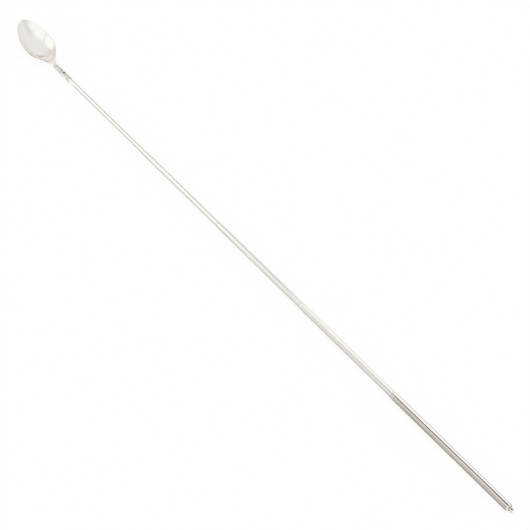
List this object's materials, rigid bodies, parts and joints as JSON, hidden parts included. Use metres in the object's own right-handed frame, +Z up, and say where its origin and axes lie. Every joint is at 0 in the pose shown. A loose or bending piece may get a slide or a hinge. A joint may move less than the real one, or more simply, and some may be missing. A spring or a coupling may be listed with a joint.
{
  "type": "telescopic spoon",
  "caption": "Long-handled spoon: a small bowl on a shaft of nested steel tubes that slide and swivel in each other and stay where they are put by friction.",
  "frame": {"origin": "on the surface the spoon lies on, below the middle of its length as drawn out in the picture", "axes": "+X along the shaft from the butt to the bowl, +Z up out of the bowl's hollow"},
  "size_m": [0.6166, 0.0254, 0.0181],
  "materials": {
    "polished_steel": "mirror-polished stainless steel",
    "satin_steel": "satin turned stainless steel",
    "black_oxide_steel": "spring steel with a black oxide",
    "brass": "turned",
    "bronze": "rolled spring bronze"
  },
  "bodies": {
    "handle": {"handle_tube": "polished_steel", "butt_plug": "polished_steel"},
    "fourth_shells": {"fourth_friction_shell_upper": "bronze", "fourth_friction_shell_lower": "bronze"},
    "fourth_tube": {"fourth_tube": "polished_steel", "fourth_tail_plug": "brass"},
    "third_shells": {"third_friction_shell_upper": "bronze", "third_friction_shell_lower": "bronze"},
    "third_tube": {"third_tube": "polished_steel", "third_tail_plug": "brass"},
    "second_shells": {"second_friction_shell_upper": "bronze", "second_friction_shell_lower": "bronze"},
    "second_tube": {"second_tube": "polished_steel", "second_tail_plug": "brass"},
    "tip_shells": {"tip_friction_shell_upper": "bronze", "tip_friction_shell_lower": "bronze"},
    "tip_tube": {"tip_tube": "polished_steel", "tip_tail_plug": "brass", "ferrule": "satin_steel", "ferrule_pin": "black_oxide_steel", "spoon_head": "polished_steel"}
  },
  "joints": [
    {"name": "fourth_slide", "type": "slide", "parent": "handle", "child": "fourth_shells", "axis": [1, 0, 0], "range_m": [-0.1043, 0.0012]},
    {"name": "fourth_swivel", "type": "hinge", "parent": "fourth_shells", "child": "fourth_tube", "pos_m": [-0.19037, 0, 0.00277], "axis": [1, 0, 0], "continuous": true},
    {"name": "third_slide", "type": "slide", "parent": "fourth_tube", "child": "third_shells", "axis": [1, 0, 0], "range_m": [-0.0952, 0.0043]},
    {"name": "third_swivel", "type": "hinge", "parent": "third_shells", "child": "third_tube", "pos_m": [-0.08717, 0, 0.00277], "axis": [1, 0, 0], "continuous": true},
    {"name": "second_slide", "type": "slide", "parent": "third_tube", "child": "second_shells", "axis": [1, 0, 0], "range_m": [-0.0932, 0.0063]},
    {"name": "second_swivel", "type": "hinge", "parent": "second_shells", "child": "second_tube", "pos_m": [0.01403, 0, 0.00277], "axis": [1, 0, 0], "continuous": true},
    {"name": "tip_slide", "type": "slide", "parent": "second_tube", "child": "tip_shells", "axis": [1, 0, 0], "range_m": [-0.0988, 0.0007]},
    {"name": "tip_swivel", "type": "hinge", "parent": "tip_shells", "child": "tip_tube", "pos_m": [0.12083, 0, 0.00277], "axis": [1, 0, 0], "continuous": true}
  ]
}
